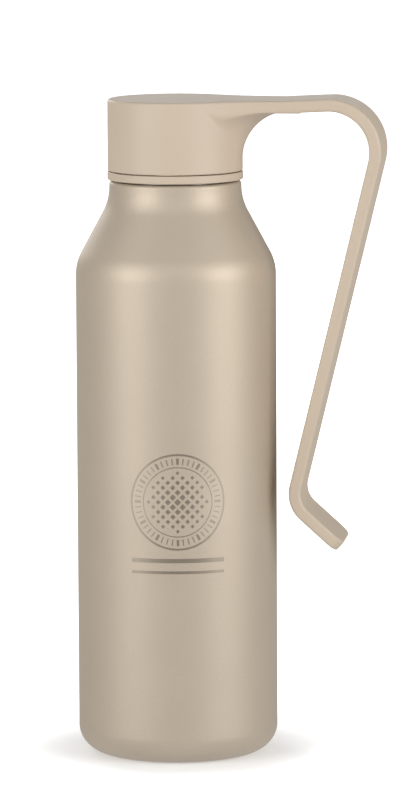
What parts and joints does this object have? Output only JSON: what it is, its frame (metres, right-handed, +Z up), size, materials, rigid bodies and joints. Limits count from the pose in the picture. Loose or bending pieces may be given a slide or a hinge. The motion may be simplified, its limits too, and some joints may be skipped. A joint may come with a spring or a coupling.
{
  "type": "insulated drinking bottle",
  "caption": "Slim double-wall steel drinking bottle with a conical shoulder and a screw lid that runs out into a long bent strap hook.",
  "frame": {"origin": "on the bottle's axis, at the plane of the ring it rests on", "axes": "+Z up along the bottle's axis; with the lid closed, the strap hook reaches towards +X"},
  "size_m": [0.1082, 0.07, 0.2307],
  "materials": {
    "painted_shell": "satin champagne metallic powder paint",
    "bare_steel": "fine turned brushing",
    "base_steel": "circular brushing",
    "solder_glass": "glossy fired bead",
    "getter_metal": "matt pressed powder",
    "copper_foil": "bright rolled foil",
    "cap_plastic": "fine matt moulded texture",
    "insert_plastic": "fine matt moulded texture",
    "foam": "closed-cell foam",
    "silicone": "satin"
  },
  "bodies": {
    "flask": {"outer_shell": "painted_shell", "inner_flask": "bare_steel", "outer_base": "base_steel", "base_cover": "base_steel", "vacuum_seal": "solder_glass", "getter_clip": "bare_steel", "getter_pill": "getter_metal", "radiation_foil": "copper_foil"},
    "gasket": {"gasket": "silicone"},
    "lid": {"handle_cap": "cap_plastic", "thread_insert": "insert_plastic", "foam_core": "foam", "plug_disc": "bare_steel"}
  },
  "joints": [
    {"name": "lid_rise", "type": "slide", "parent": "flask", "child": "gasket", "axis": [0, 0, 1], "range_m": [0, 0.024]},
    {"name": "lid_turn", "type": "hinge", "parent": "gasket", "child": "lid", "pos_m": [0, 0, 0.215], "axis": [0, 0, 1], "range_deg": [0, 1080]}
  ],
  "couplings": [
    {"joint": "lid_rise", "follows": "lid_turn", "m_per_rad": 0.0012732}
  ]
}
